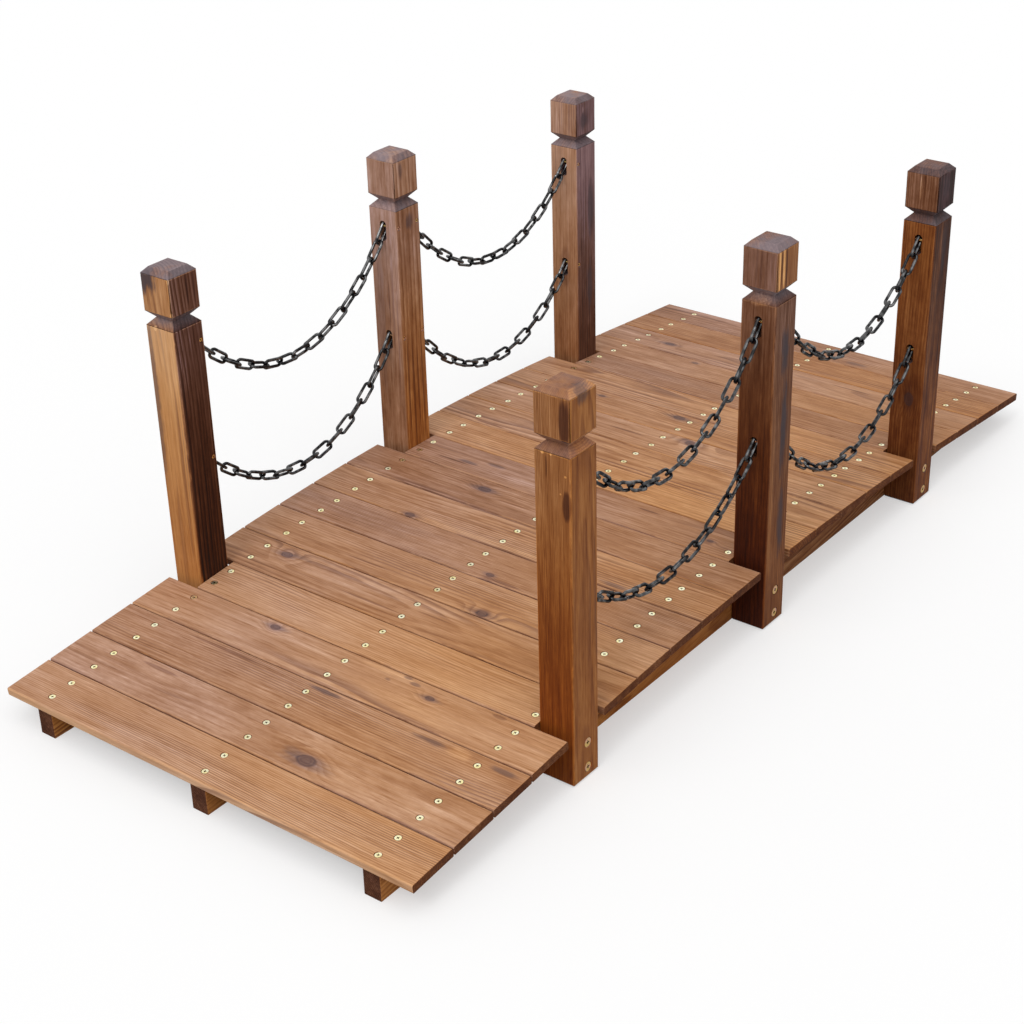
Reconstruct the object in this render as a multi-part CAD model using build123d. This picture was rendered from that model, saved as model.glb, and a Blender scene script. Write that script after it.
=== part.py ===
"""Arched wooden footbridge for a garden, with six posts and hanging chain rails.

Frame: X runs along the bridge (the near end is -X), Y across it (left is +Y) and
Z is up. The origin is on the ground, under the middle of the deck. Millimetres.
"""
from build123d import *
import os
from math import asinh, atan, cos, cosh, degrees, pi, radians, sin, sinh, sqrt, tan

# ---- driving dimensions ----------------------------------------------------
# Deck profile: an arc between two straight ramps
DECK_TOP = 96.0            # crown of the walking surface above the ground
ARC_HALF_RUN = 430.0       # plan length of the arc, from the crown to a ramp
RAMP_RUN = 320.0           # plan length of each straight ramp
RAMP_ANGLE = 5.0           # slope of the ramps, degrees

# Cross planks
PLANK_COUNT = 21
PLANK_THICKNESS = 12.0
PLANK_GAP = 1.6            # open joint between neighbouring planks
PLANK_EDGE = 1.4           # eased long edges
BAY_PLANKS = 6             # planks from one row of posts to the next
WALKWAY_WIDTH = 560.0      # clear width between the posts of the two rails

# Stringers: three sawn boards on edge, flat below and arched above
STRINGER_THICKNESS = 25.0
STRINGER_SETBACK = 5.0     # the first plank overhangs the stringer ends

# Posts
POST_WIDTH = 50.0
POST_EDGE = 1.5            # eased upright edges
END_SHAFT = 436.0          # ground to the shoulder of an end post
MIDDLE_SHAFT = 464.0       # the middle posts are longer
FOOT_CHAMFER = 3.0
NECK_DEPTH = 10.0          # V groove under the cap
NECK_HEIGHT = 20.0
CAP_HEIGHT = 50.0
CAP_CHAMFER = 8.0

# Chains: long-link welded chain
WIRE = 4.2
WIRE_SIDES = 5
LINK_INNER = 27.8          # inner length of a link
LINK_WIDTH = 16.0          # outer width of a link
BOW_CORNERS = 4            # corners that turn each round end of a link
RAIL_SPACING = 166.0       # upper chain to lower chain, at a post

# Slots that take the chain ends, and the screws that hold the end links
SLOT_WIDTH = 11.0
SLOT_HEIGHT = 29.0
SLOT_DEPTH = 14.0
SLOT_DROP = 17.0           # shoulder of the post to the top of the upper slot
SCREW_DROP = 8.0           # top of a slot to its screw
SCREW_INSET = 5.0          # face of the post to its screw
SCREW_SHANK = 3.5
SCREW_HEAD = 7.0
SCREW_HEAD_HEIGHT = 2.4
SCREW_LENGTH = 40.0
SCREW_SIDES = 6

# Clearances
SEAT = 0.3                 # between pieces that bear on each other
LINK_PLAY = 0.3            # between links that pull on each other
HOLE_PLAY = 0.2            # all round a screw in its hole

# Number of links and greatest turn of the links out of line, for each chain
CHAINS = {
    ("left", "near", "upper"): (17, 20.0),
    ("left", "near", "lower"): (17, 42.0),
    ("left", "far", "upper"): (17, 14.0),
    ("left", "far", "lower"): (17, 45.0),
    ("right", "near", "upper"): (17, 42.0),
    ("right", "near", "lower"): (16, 0.0),
    ("right", "far", "upper"): (17, 25.0),
    ("right", "far", "lower"): (17, 30.0),
}

# ---- worked out from the above ---------------------------------------------
SLOPE = radians(RAMP_ANGLE)
ARC_RADIUS = ARC_HALF_RUN / sin(SLOPE)
ARC_LENGTH = ARC_RADIUS * SLOPE
DECK_RUN = ARC_LENGTH + RAMP_RUN / cos(SLOPE)
PLANK_PITCH = 2 * DECK_RUN / PLANK_COUNT
PLANK_WIDTH = PLANK_PITCH - PLANK_GAP
LONG_PLANK = WALKWAY_WIDTH + 2 * POST_WIDTH
SHORT_PLANK = WALKWAY_WIDTH - 2 * SEAT
POST_Y = (WALKWAY_WIDTH + POST_WIDTH) / 2
STRINGER_Y = (WALKWAY_WIDTH - STRINGER_THICKNESS) / 2 - SEAT
LINK_PITCH = LINK_INNER - LINK_PLAY
BOW_RADIUS = (LINK_WIDTH - WIRE) / 2
BOW_CENTRE = (LINK_INNER + WIRE) / 2 - BOW_RADIUS
SLOT_CORNER = SLOT_WIDTH / (2 + sqrt(2))    # each end of a slot is half an octagon
END_REACH = (LINK_INNER - SCREW_SHANK + LINK_PITCH) / 2 - LINK_PLAY

SIDES = {"left": 1, "right": -1}
STATIONS = {"near": -1, "middle": 0, "far": 1}
LEVELS = {"upper": 0, "lower": 1}


def deck_frame(run, depth=0.0):
    """X, Z and slope (degrees) at a run along the deck from its crown, that deep below its top."""
    along = abs(run)
    if along <= ARC_LENGTH:
        slope = along / ARC_RADIUS
        x = ARC_RADIUS * sin(slope)
        z = DECK_TOP - ARC_RADIUS * (1 - cos(slope))
    else:
        slope = SLOPE
        ramp = along - ARC_LENGTH
        x = ARC_HALF_RUN + ramp * cos(SLOPE)
        z = DECK_TOP - ARC_RADIUS * (1 - cos(SLOPE)) - ramp * sin(SLOPE)
    side = 1 if run >= 0 else -1
    return side * (x - depth * sin(slope)), z - depth * cos(slope), side * degrees(slope)


def plank_run(index):
    """Run along the deck to the middle of a plank, counted from the near end."""
    return (index - (PLANK_COUNT - 1) / 2) * PLANK_PITCH


def post_x(station):
    """The posts stand in the middle of the short planks' bays."""
    return deck_frame(STATIONS[station] * BAY_PLANKS * PLANK_PITCH)[0]


def shaft_height(station):
    return MIDDLE_SHAFT if station == "middle" else END_SHAFT


def screw_height(station, level):
    return shaft_height(station) - SLOT_DROP - SCREW_DROP - LEVELS[level] * RAIL_SPACING


def slotted_faces(station):
    """Directions in X of the faces that look along the rail at another post."""
    return (-1, 1) if station == "middle" else (-STATIONS[station],)


# ---- deck ------------------------------------------------------------------
def plank(index):
    from_middle = abs(index - (PLANK_COUNT - 1) // 2)
    length = SHORT_PLANK if from_middle in (0, BAY_PLANKS) else LONG_PLANK
    x, z, slope = deck_frame(plank_run(index), PLANK_THICKNESS / 2)
    board = Box(PLANK_WIDTH, length, PLANK_THICKNESS)
    board = chamfer(board.edges().filter_by(Axis.Y), PLANK_EDGE)
    return Pos(x, 0, z) * Rot(Y=slope) * board


def stringer(y):
    """A board on edge: its top follows the underside of the planks."""
    depth = PLANK_THICKNESS + SEAT
    arc_x, arc_z, _ = deck_frame(ARC_LENGTH, depth)
    crown_z = DECK_TOP - depth
    end_x = deck_frame(DECK_RUN)[0] - STRINGER_SETBACK
    end_z = arc_z - (end_x - arc_x) * tan(SLOPE)
    arch = ThreePointArc((-arc_x, arc_z), (0, crown_z), (arc_x, arc_z))
    rest = Polyline((arc_x, arc_z), (end_x, end_z), (end_x, 0), (-end_x, 0), (-end_x, end_z),
                    (-arc_x, arc_z))
    side = Plane.XZ * make_face([arch, rest])
    return Pos(0, y, 0) * extrude(side, STRINGER_THICKNESS / 2, both=True)


# ---- posts -----------------------------------------------------------------
def frustum(outline, height, inset):
    """A solid on an outline whose sides lean in by inset over its height, up or down."""
    return extrude(outline, height, taper=degrees(atan(inset / abs(height))))


def post(side, station):
    shaft = shaft_height(station)
    cap = shaft + NECK_HEIGHT
    top = cap + CAP_HEIGHT + CAP_CHAMFER
    blank = Pos(0, 0, top / 2) * Box(POST_WIDTH, POST_WIDTH, top)
    turned = chamfer(blank.faces().sort_by(Axis.Z)[0].edges(), FOOT_CHAMFER)
    turned = chamfer(turned.faces().sort_by(Axis.Z)[-1].edges(), CAP_CHAMFER)
    turned &= chamfer(blank.edges().filter_by(Axis.Z), POST_EDGE)
    turned -= neck_groove(shaft + NECK_HEIGHT / 2)
    for face in slotted_faces(station):
        for level in LEVELS:
            height = screw_height(station, level)
            turned -= slot(face, height)
            turned -= screw_hole(face, height, side)
    return Pos(post_x(station), SIDES[side] * POST_Y, 0) * turned


def neck_groove(height):
    """The V groove round a post, as the ring of wood that is sawn away."""
    ring = Box(2 * POST_WIDTH, 2 * POST_WIDTH, NECK_HEIGHT)
    bottom = Plane.XY.offset(-NECK_HEIGHT / 2) * Rectangle(POST_WIDTH, POST_WIDTH)
    top = Plane.XY.offset(NECK_HEIGHT / 2) * Rectangle(POST_WIDTH, POST_WIDTH)
    ring -= frustum(bottom, NECK_HEIGHT / 2, NECK_DEPTH)
    ring -= frustum(top, -NECK_HEIGHT / 2, NECK_DEPTH)
    return Pos(0, 0, height) * ring


def slot(face, height):
    """An upright oblong mortise in the face of a post that looks along the rail."""
    outline = chamfer(Rectangle(SLOT_WIDTH, SLOT_HEIGHT).vertices(), SLOT_CORNER)
    middle = height + SCREW_DROP - SLOT_HEIGHT / 2
    mouth = Plane(origin=(face * POST_WIDTH / 2, 0, middle), x_dir=(0, 1, 0), z_dir=(face, 0, 0))
    return extrude(mouth * outline, -SLOT_DEPTH)


# ---- screws that hold the chains -------------------------------------------
def countersunk(head, head_height, shank, length):
    """A countersunk screw that points along +Z, its head flush at the origin."""
    inset = (head - shank) / 2 * cos(pi / SCREW_SIDES)
    cone = frustum(RegularPolygon(head / 2, SCREW_SIDES), head_height, inset)
    stem = extrude(RegularPolygon(shank / 2, SCREW_SIDES), length)
    return cone + stem


def screw_place(face, height, side):
    """On the post's deck side, close to the face with the slot, pointing outward."""
    x = face * (POST_WIDTH / 2 - SCREW_INSET)
    outward = SIDES[side]
    return Plane(origin=(x, -outward * POST_WIDTH / 2, height), x_dir=(1, 0, 0), z_dir=(0, outward, 0))


def screw_hole(face, height, side):
    hole = countersunk(SCREW_HEAD + 2 * HOLE_PLAY, SCREW_HEAD_HEIGHT, SCREW_SHANK + 2 * HOLE_PLAY,
                       SCREW_LENGTH + HOLE_PLAY)
    return screw_place(face, height, side).location * hole


def chain_screws(side, station):
    screw = countersunk(SCREW_HEAD, SCREW_HEAD_HEIGHT, SCREW_SHANK, SCREW_LENGTH)
    at_post = Pos(post_x(station), SIDES[side] * POST_Y, 0)
    return [at_post * (screw_place(face, screw_height(station, level), side).location * screw)
            for face in slotted_faces(station) for level in LEVELS]


# ---- chains ----------------------------------------------------------------
def chain_link():
    """An oval link in the XY plane, lengthwise along X."""
    turn = pi / BOW_CORNERS
    corner = BOW_RADIUS / cos(turn / 2)
    bow = [(BOW_CENTRE + corner * cos(angle), corner * sin(angle))
           for angle in (-pi / 2 + (k + 0.5) * turn for k in range(BOW_CORNERS))]
    start = (0, -BOW_RADIUS)
    route = Polyline(start, *bow, *[(-x, -y) for x, y in bow], start)
    section = Plane(origin=(*start, 0), x_dir=(0, 0, 1), z_dir=(1, 0, 0)) * RegularPolygon(WIRE / 2, WIRE_SIDES)
    return sweep(section, path=route, transition=Transition.RIGHT)


def hanging_points(start, end, steps):
    """Joints of a chain that hangs in a catenary between two points of a vertical plane."""
    length = sum(steps)
    span = end[0] - start[0]
    rise = end[1] - start[1]
    slack = sqrt(length ** 2 - rise ** 2) / span
    low, high = 1e-6, 10.0
    for _ in range(60):
        bend = (low + high) / 2
        low, high = (bend, high) if sinh(bend) / bend < slack else (low, bend)
    scale = span / (2 * bend)
    lean = asinh(rise / (2 * scale * sinh(bend)))
    first = lean - bend
    points, run = [start], 0.0
    for step in steps:
        run += step
        u = asinh(sinh(first) + run / scale)
        points.append((start[0] + scale * (u - first), start[1] + scale * (cosh(u) - cosh(first))))
    return points


def chain(side, bay, level):
    """Links hooked into one another, from the screw of one post to that of the next."""
    count, twist = CHAINS[side, bay, level]
    stations = ("near", "middle") if bay == "near" else ("middle", "far")
    inset = POST_WIDTH / 2 - SCREW_INSET
    ends = [(post_x(station) + reach, screw_height(station, level))
            for station, reach in zip(stations, (inset, -inset))]
    joints = hanging_points(*ends, [END_REACH] + [LINK_PITCH] * (count - 2) + [END_REACH])
    extra = 0.0 if count % 2 else 90.0
    link = chain_link()
    links = []
    for k in range(count):
        start, end = (Vector(x, SIDES[side] * POST_Y, z) for x, z in joints[k:k + 2])
        along = (end - start).normalized()
        shift = (LINK_PITCH - END_REACH) / 2
        centre = (start + end) / 2 + along * {0: -shift, count - 1: shift}.get(k, 0.0)
        part_way = k / (count - 1)
        roll = 90.0 * k + extra * part_way + twist * sin(pi * part_way)
        flat = Plane(origin=centre, x_dir=along, z_dir=(0, 1, 0))
        links.append(flat.location * Rot(X=roll) * link)
    return links


# ---- write the sub-parts ---------------------------------------------------
def build():
    parts = {f"plank_{k + 1:02d}": plank(k) for k in range(PLANK_COUNT)}
    for name, y in (("left", STRINGER_Y), ("middle", 0.0), ("right", -STRINGER_Y)):
        parts[f"stringer_{name}"] = stringer(y)
    for side in SIDES:
        for station in STATIONS:
            parts[f"post_{side}_{station}"] = post(side, station)
            parts[f"chain_screws_{side}_{station}"] = Compound(chain_screws(side, station))
    for side, bay, level in CHAINS:
        parts[f"chain_{side}_{bay}_{level}"] = Compound(chain(side, bay, level))
    return parts


os.makedirs("parts", exist_ok=True)
for node, shape in build().items():
    export_step(shape, f"parts/{node}.step")
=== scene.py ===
"""Finish, fasteners and setting of the arched garden footbridge, built around its CAD frame.

The frame gives every place: X runs along the bridge, Y across it and Z up, in metres.
"""
import math
import random

import bmesh
import bpy
import numpy as np
from mathutils import Matrix, Vector


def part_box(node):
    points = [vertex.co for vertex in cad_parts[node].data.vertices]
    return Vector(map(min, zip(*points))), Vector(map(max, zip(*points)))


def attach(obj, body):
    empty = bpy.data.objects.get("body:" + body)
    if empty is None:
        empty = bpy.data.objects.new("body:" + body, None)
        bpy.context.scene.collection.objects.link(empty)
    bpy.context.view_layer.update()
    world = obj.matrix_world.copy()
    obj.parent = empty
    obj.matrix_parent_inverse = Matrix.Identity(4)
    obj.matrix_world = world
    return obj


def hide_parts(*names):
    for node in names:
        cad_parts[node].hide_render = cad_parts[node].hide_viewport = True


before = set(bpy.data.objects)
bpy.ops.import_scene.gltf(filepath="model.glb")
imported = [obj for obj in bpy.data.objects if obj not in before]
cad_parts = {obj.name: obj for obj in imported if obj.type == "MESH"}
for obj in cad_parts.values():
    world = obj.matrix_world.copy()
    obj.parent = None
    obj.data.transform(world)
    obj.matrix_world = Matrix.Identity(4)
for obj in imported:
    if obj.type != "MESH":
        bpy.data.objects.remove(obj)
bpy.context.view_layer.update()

# ---- sizes -----------------------------------------------------------------
MM = 0.001
SCREW_STEP = 16.3 * MM         # a deck screw is this far from the middle of its plank, along the bridge
SCREW_WANDER = 0.9 * MM        # hand-driven screws miss their marks by about this much
DECK_SCREW_HEAD = 8.4 * MM
DECK_SCREW_LENGTH = 10 * MM
FOOT_SCREW_HEAD = 12.2 * MM
FOOT_SCREW_LENGTH = 30 * MM
RAIL_SCREW_HEAD = 7.0 * MM
RAIL_SCREW_LENGTH = 40 * MM
SUNK = 0.45 * MM               # heads sit this far below the wood
RAIL_SUNK = 1.3 * MM
DECK_HOLE = 2.6 * MM           # depth of a countersink
FOOT_HOLE = 4 * MM
TORN_AND_SHADED_RING = 1.0 * MM           # a ring of crushed wood and painted shade round a head
FOOT_SCREW_HEIGHTS = (15 * MM, 50 * MM)
FOOT_SCREW_OFFSET = 3.5 * MM   # from the middle of the post, towards the far end
LINK_WIRE = 4.4 * MM
LINK_LENGTH = 32.0 * MM        # along the middle of the wire
LINK_WIDTH = 11.8 * MM
LINK_BEND = 5.2 * MM
BOARD_EDGE = 0.7 * MM
POST_EDGE = 0.9 * MM
SHORTEST_EDGE = 12 * MM        # shorter edges are left sharp
SLOT_REACH = 23.5 * MM         # a post's faces that lie nearer to its axis are walls of its slots
CAP_HEIGHT = 70 * MM           # from a post's neck up to its top
FADE_RUN = 190 * MM            # the tone goes from low to high over this length of the grain
FADE_END = 130 * MM            # and stays as it is this far from the middle

SIDES = {"left": 1, "right": -1}
STATIONS = ("near", "middle", "far")
ROWS = ("left", "middle", "right")
ALONG_BOARD, ALONG_STRINGER, ALONG_POST = Vector((0, 1, 0)), Vector((1, 0, 0)), Vector((0, 0, 1))
WHITE = (1.0, 1.0, 1.0, 1.0)

# How each plank looks, from the near end: depth and warmth of its stain; width (mm), strength and
# unevenness of its growth; and where the middle of the tree lay (across and below it, mm). Its marks are
# given by their place along the plank (towards the left) and across it (towards the far end) and by their
# radius, mm; a streak or smudge also by how far it is drawn out along the grain and by its strength, below
# 0 for a pale one.
PLANKS = (
    dict(stain=(0.88, 0.0), growth=(2.9, 0.55, 0.15), pith=(150, -30)),
    dict(stain=(1.05, -0.2), growth=(3.2, 0.34, 0.60), pith=(20, -70), knots=[(-90, -11, 8)],
         smudges=[(-62, -6, 7, 2, 0.35)], streaks=[(190, 24, 3, 9, 0.6)]),
    dict(stain=(1.15, 0.0), growth=(2.6, 0.28, 0.30), pith=(-60, -60),
         smudges=[(-23, 27, 4, 5, 0.9), (-190, 23, 4, 6, 0.8), (-301, 23, 4, 5, 0.8)],
         streaks=[(-236, 22, 9, 2, -0.35), (150, 26, 2, 30, 0.6)]),
    dict(stain=(0.94, 0.0), growth=(2.6, 0.42, 0.20), pith=(-10, -90),
         knots=[(125, 23, 4.5), (-140, 13, 4.5)],
         smudges=[(-92, 32, 3, 2, 0.6), (-107, 25, 3, 2, 0.6), (-71, 16, 2.5, 2, 0.5)],
         streaks=[(-60, 28, 3, 14, -0.3), (-234, 29, 3, 3, 0.6)]),
    dict(stain=(0.80, 0.1), growth=(2.8, 0.50, 0.15), pith=(70, -60)),
    dict(stain=(1.15, 0.2), growth=(2.6, 0.36, 0.25), pith=(0, -80), knots=[(228, 14, 6)],
         smudges=[(205, 19, 4, 5, 0.4)], streaks=[(60, -12, 1.5, 30, 0.7), (-40, 4, 1.5, 20, 0.6)]),
    dict(stain=(1.02, 0.1), growth=(2.6, 0.32, 0.30), pith=(-30, -50), knots=[(-85, -29, 6)],
         streaks=[(-85, -34, 1, 12, 0.9), (120, -14, 1.5, 24, 0.8)]),
    dict(stain=(1.27, -0.1), growth=(2.3, 0.34, 0.30), pith=(110, -50), knots=[(-38, -23, 4)],
         streaks=[(-60, -30, 3, 10, 0.7)]),
    dict(stain=(1.18, 0.2), growth=(2.8, 0.42, 0.30), pith=(40, -60), knots=[(153, -31, 5)],
         smudges=[(-190, -28, 4, 5, 0.7)], streaks=[(0, -28, 4, 40, -0.3)]),
    dict(stain=(1.45, 0.0), growth=(2.6, 0.38, 0.35), pith=(-20, -70), knots=[(111, 12, 6)]),
    dict(stain=(1.27, -0.3), growth=(2.8, 0.34, 0.30), pith=(30, -70), knots=[(-231, -4, 3)],
         smudges=[(183, -7, 4, 4, 0.8), (140, 7, 4, 4, 0.6)],
         streaks=[(208, -13, 2, 14, 0.9), (-117, 19, 2, 8, 0.9)]),
    dict(stain=(0.83, 0.4), growth=(4.5, 0.55, 0.50), pith=(-60, -40), streaks=[(-91, 29, 1.5, 20, 1.0)]),
    dict(stain=(1.06, 0.2), growth=(4.2, 0.55, 0.50), pith=(0, -60),
         streaks=[(-50, -12, 1.2, 12, 1.0), (236, -30, 2, 14, 1.0)]),
    dict(stain=(1.03, 0.0), growth=(4.2, 0.50, 0.50), pith=(30, -50), knots=[(-46, 22, 7)],
         smudges=[(-34, 29, 5, 2, 0.6)], streaks=[(54, 3, 2, 14, 0.9)]),
    dict(stain=(1.10, 0.3), growth=(3.4, 0.45, 0.40), pith=(-30, -60), knots=[(21, 20, 6), (163, 18, 3.5)]),
    dict(stain=(1.00, 0.2), growth=(3.4, 0.45, 0.45), pith=(20, -60)),
    dict(stain=(1.48, 0.1), growth=(3.0, 0.40, 0.40), pith=(-60, -60), streaks=[(57, -31, 1.5, 25, 1.0)]),
    dict(stain=(1.18, 0.2), growth=(3.2, 0.42, 0.45), pith=(60, -50), knots=[(132, 23, 4)]),
    dict(stain=(1.14, -0.2), growth=(2.8, 0.32, 0.40), pith=(10, -80), knots=[(213, 1, 5)],
         streaks=[(-123, 14, 2, 18, 0.8)]),
    dict(stain=(1.37, 0.6), growth=(3.0, 0.40, 0.40), pith=(-40, -60)),
    dict(stain=(1.52, -0.1), growth=(3.0, 0.40, 0.40), pith=(30, -70), smudges=[(-69, -19, 6, 4, 0.6)]),
)

# How each post looks: depth and warmth of the stain on its near, right, far and left faces, low down, high
# up and on its cap, where a fifth pair is the top's; what its slopes add to the depth and how far its
# growth is hidden, each along the bridge and across it; how grey its end grain is, on the cap and below;
# how far its arrises are painted lighter, as rubbed wood and as a painted highlight; its growth and the
# middle of its tree (towards the near end and to the left, mm); and its marks, from the middle of its foot,
# mm.
POSTS = {
    ("left", "near"): dict(
        low=((0.84, 1.3), (5.45, 2.0), (2.0, 0.6), (1.8, 0.6)),
        high=((0.37, 0.6), (3.75, -0.1), (1.9, 0.6), (1.7, 0.6)),
        cap=((1.10, 1.0), (3.1, -0.2), (1.9, 0.4), (1.8, 0.4), (1.8, 1.3)), slopes=(0.6, 0.6),
        plain=(0.8, 0.2), ends=(1.5, 0.0), wear_and_highlight=0.6,
        growth=(4.6, 1.00, 0.2), pith=(70, 30),
        smudges=[(-25, 17, 500, 15, 1.3, 1.7), (-25, 21, 330, 7, 14, 0.9)],
        streaks=[(-25, 8, 436, 3, 1.6, -1.3), (5, -25, 490, 2, 14, 0.9), (17, -25, 490, 2, 14, 0.9),
                 (-25, -25, 505, 2, 2.5, -2.2), (-25, -25, 458, 2, 2.5, -2.2), (-25, -14, 230, 3, 40, 0.5),
                 (-25, 3, 120, 4, 22, 0.4)]),
    ("left", "middle"): dict(
        low=((1.66, 0.1), (1.47, 1.7), (1.9, 0.4), (1.8, 0.5)),
        high=((1.34, -0.5), (1.63, 0.2), (1.9, 0.2), (1.7, 0.4)),
        cap=((1.42, -0.4), (1.25, -0.2), (1.7, 0.1), (1.6, 0.2), (0.7, 0.6)), slopes=(-0.3, 1.1),
        plain=(0.8, 0.2), ends=(1.2, 1.2), wear_and_highlight=0.2,
        growth=(7.0, 0.90, 0.7), pith=(70, 25),
        smudges=[(2, -25, 442, 8, 1.6, 0.9), (-10, -25, 520, 4, 3, 0.7), (-25, 13, 300, 10, 9, 0.35)],
        streaks=[(-5, -25, 170, 2.4, 36, 1.0), (5, -25, 180, 2, 36, 1.0), (15, -25, 170, 2, 40, 0.9),
                 (-25, -4, 325, 0.7, 44, 1.4), (-16, -25, 200, 1.6, 40, 0.9)]),
    ("left", "far"): dict(
        low=((1.67, 0.6), (3.85, 0.2), (1.9, 0.4), (1.8, 0.4)),
        high=((1.12, 0.0), (2.4, -1.5), (1.9, 0.2), (1.8, 0.3)),
        cap=((1.28, -0.2), (2.7, -1.5), (1.9, 0.2), (1.7, 0.3), (1.0, 0.3)), slopes=(0.4, 1.0),
        plain=(0.6, 0.5), ends=(1.2, 1.4), wear_and_highlight=0.15,
        growth=(4.4, 0.60, 0.4), pith=(40, -60),
        smudges=[(12, -25, 330, 7, 6, 1.0), (8, -25, 200, 7, 6, 0.9), (-4, -25, 478, 9, 1.5, 1.0)],
        streaks=[(-25, 0, 240, 10, 3, 0.4), (-8, -25, 495, 1.6, 3, -0.7)]),
    ("right", "near"): dict(
        low=((2.42, 3.5), (1.8, 2.0), (1.9, 1.0), (2.0, 1.4)),
        high=((1.83, 1.8), (1.87, 2.0), (1.9, 1.0), (1.9, 1.4)),
        cap=((1.67, 1.2), (1.5, 1.7), (1.8, 1.0), (1.8, 1.0), (0.7, 1.2)), slopes=(-0.6, -1.5),
        plain=(0.2, 0.3), ends=(0.4, 0.4),
        growth=(2.2, 0.60, 0.25), pith=(0, 70),
        smudges=[(0, -22, 508, 13, 1, 1.0)],
        streaks=[(-25, -18, 476, 6.5, 4, 1.8), (-25, -19, 377, 5.5, 3.2, 1.7),
                 (-25, -18, 413, 1.5, 1, -1.2), (-25, -11, 390, 1.2, 1, -1.0), (-25, 8, 418, 0.7, 20, 2.2),
                 (-25, 13, 435, 2.4, 0.6, -1.2), (-25, 2, 435, 1.8, 0.6, -1.2)]),
    ("right", "middle"): dict(
        low=((4.7, 4.0), (2.58, 1.4), (2.2, 0.8), (2.4, 1.2)),
        high=((3.2, 1.0), (2.78, 0.3), (2.1, 0.6), (2.2, 1.0)),
        cap=((2.35, -0.3), (1.65, 1.1), (2.0, 0.6), (2.1, 0.8), (2.2, 0.9)), slopes=(-0.7, 0.1),
        plain=(0.8, 0.0), ends=(1.4, 0.1), wear_and_highlight=0.35,
        growth=(3.2, 0.45, 0.3), pith=(-60, -60),
        smudges=[(2, -25, 395, 8, 4, 1.4), (5, -25, 290, 8, 7, 1.4), (7, -25, 150, 6, 8, 1.2)],
        streaks=[(-20, -25, 511, 2.0, 16, -1.7), (-10, -25, 514, 2.2, 12, -1.4),
                 (-15, -25, 512, 1.0, 24, 2.0), (-4, -25, 512, 1.4, 24, 2.0),
                 (-25, -15, 250, 1.2, 60, 0.8), (-19, -25, 240, 4, 45, -0.5),
                 (-22, 0, 468, 14, 0.5, -0.8)]),
    ("right", "far"): dict(
        low=((3.27, 2.3), (3.2, 2.4), (2.2, 0.8), (2.2, 1.2)),
        high=((2.4, 2.1), (4.2, 1.5), (2.2, 0.8), (2.2, 1.2)),
        cap=((2.57, 0.2), (5.3, -1.5), (2.1, 0.6), (2.1, 0.8), (2.4, 1.0)), slopes=(0.9, 0.2),
        plain=(0.45, 0.1), ends=(0.8, 1.0), wear_and_highlight=0.2,
        growth=(3.8, 0.75, 0.8), pith=(0, -60), knots=[(-25, -4, 168, 7, 1.4, 0.2)],
        smudges=[(0, -25, 488, 10, 1.5, 0.5), (6, -25, 400, 8, 5, 0.7)],
        streaks=[(18, -25, 300, 1.2, 70, 1.2), (-4, -25, 400, 1.4, 24, -0.9), (-25, 2, 486, 2, 8, -0.7)]),
}


# ---- shader graphs written as sums -----------------------------------------
def srgb(red, green, blue):
    """A colour given in 8-bit display values, as the linear colour that a shader takes."""
    def linear(value):
        value /= 255
        return value / 12.92 if value <= 0.04045 else ((value + 0.055) / 1.055) ** 2.4
    return (linear(red), linear(green), linear(blue), 1.0)


class Value:
    """An output socket that can be added, multiplied and so on as a number."""

    def __init__(self, graph, socket):
        self.graph = graph
        self.socket = socket

    def _math(self, operation, *values):
        return self.graph.node("ShaderNodeMath", {"operation": operation}, dict(enumerate(values)))

    def __add__(self, other): return self._math("ADD", self, other)
    def __radd__(self, other): return self._math("ADD", other, self)
    def __sub__(self, other): return self._math("SUBTRACT", self, other)
    def __rsub__(self, other): return self._math("SUBTRACT", other, self)
    def __mul__(self, other): return self._math("MULTIPLY", self, other)
    def __rmul__(self, other): return self._math("MULTIPLY", other, self)
    def __truediv__(self, other): return self._math("DIVIDE", self, other)
    def __pow__(self, other): return self._math("POWER", self, other)
    def __rpow__(self, other): return self._math("POWER", other, self)
    def __abs__(self): return self._math("ABSOLUTE", self)
    def __mod__(self, other): return self._math("FLOORED_MODULO", self, other)
    def high(self, other): return self._math("MAXIMUM", self, other)
    def low(self, other): return self._math("MINIMUM", self, other)
    def exp(self): return self._math("EXPONENT", self)


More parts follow.
